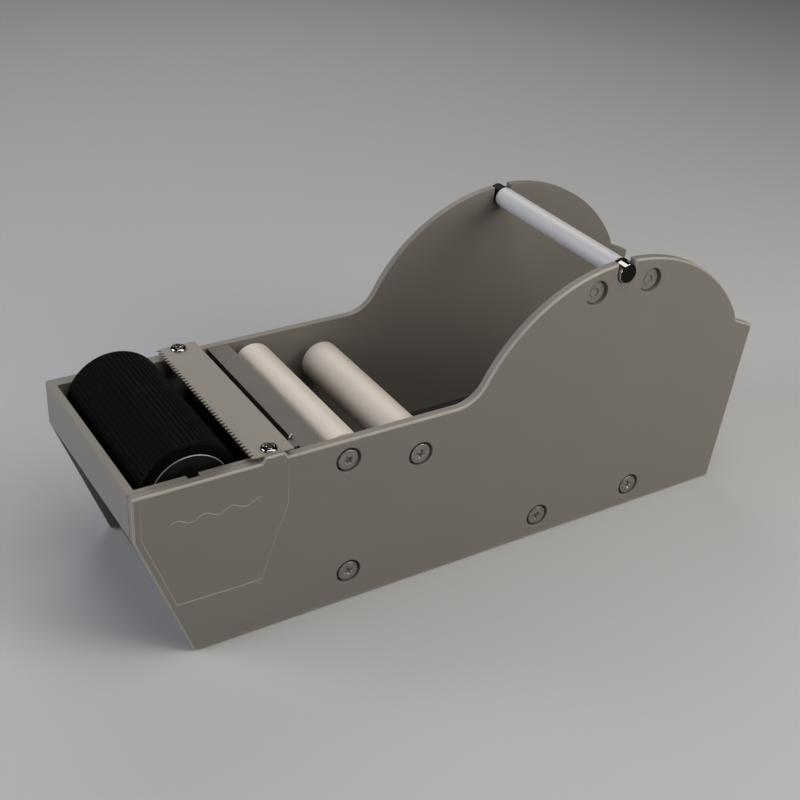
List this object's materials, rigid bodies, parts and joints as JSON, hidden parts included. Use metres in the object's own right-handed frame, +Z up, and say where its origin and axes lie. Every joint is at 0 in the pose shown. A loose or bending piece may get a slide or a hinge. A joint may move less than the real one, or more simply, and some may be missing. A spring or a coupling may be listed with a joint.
{
  "type": "packing tape dispenser",
  "caption": "Countertop dispenser for gummed packing tape: grey body with a ribbed water roller in a tank, serrated tear blade, white guide rollers and a lift-out spindle.",
  "frame": {"origin": "middle of the length over the heel of the side panels, middle of the width, on the surface that the feet stand on", "axes": "+X from the front face to the rear, +Y to the left side as the user stands behind it, +Z up"},
  "size_m": [0.3874, 0.123, 0.1675],
  "materials": {
    "body_plastic": "warm grey moulded plastic, satin",
    "blade_steel": "satin sheet steel",
    "screw_chrome": "bright plated",
    "screw_nickel": "dull nickel plated",
    "guide_metal": "grey painted sheet",
    "axle_steel": "drawn steel",
    "black_rubber": "ribbed, matt",
    "roller_hub": "black moulded plastic",
    "roller_white": "off-white plastic",
    "sleeve_white": "white plastic tube",
    "ballast_iron": "painted casting",
    "foot_rubber": "matt pads"
  },
  "bodies": {
    "frame": {"right_side_panel": "body_plastic", "left_side_panel": "body_plastic", "water_tank": "body_plastic", "blade_bar": "body_plastic", "tear_blade": "blade_steel", "blade_screws": "screw_chrome", "guide_plate": "guide_metal", "guard_wire": "axle_steel", "front_guide_axle": "axle_steel", "rear_guide_axle": "axle_steel", "axle_spacers": "roller_white", "axle_washers": "axle_steel", "side_screws": "screw_nickel", "blanking_plugs": "body_plastic", "cross_bar": "body_plastic", "ballast_block": "ballast_iron", "base_plate": "body_plastic", "base_screws": "screw_nickel", "rear_wall": "body_plastic", "rubber_feet": "foot_rubber"},
    "water_roller_axle": {"roller_axle": "axle_steel"},
    "water_roller": {"roller_rubber": "black_rubber", "roller_core": "roller_hub", "roller_end_caps": "roller_hub"},
    "front_guide": {"front_guide_roller": "roller_white", "front_roller_bushes": "roller_white"},
    "rear_guide": {"rear_guide_roller": "roller_white", "rear_roller_bushes": "roller_white"},
    "spindle": {"spindle_rod": "axle_steel", "spindle_end_caps": "roller_hub"},
    "sleeve": {"spindle_sleeve": "sleeve_white"}
  },
  "joints": [
    {"name": "roller_lift", "type": "slide", "parent": "frame", "child": "water_roller_axle", "axis": [0, 0, 1], "range_m": [0, 0.1]},
    {"name": "water_roller_spin", "type": "hinge", "parent": "water_roller_axle", "child": "water_roller", "pos_m": [-0.16075, 0, 0.091], "axis": [0, 1, 0], "continuous": true},
    {"name": "front_guide_spin", "type": "hinge", "parent": "frame", "child": "front_guide", "pos_m": [-0.07975, 0, 0.0908], "axis": [0, 1, 0], "continuous": true},
    {"name": "rear_guide_spin", "type": "hinge", "parent": "frame", "child": "rear_guide", "pos_m": [-0.03645, 0, 0.0815], "axis": [0, 1, 0], "continuous": true},
    {"name": "spindle_lift", "type": "slide", "parent": "frame", "child": "spindle", "axis": [0, 0, 1], "range_m": [0, 0.08]},
    {"name": "sleeve_spin", "type": "hinge", "parent": "spindle", "child": "sleeve", "pos_m": [0.08705, 0, 0.1603], "axis": [0, 1, 0], "continuous": true}
  ]
}
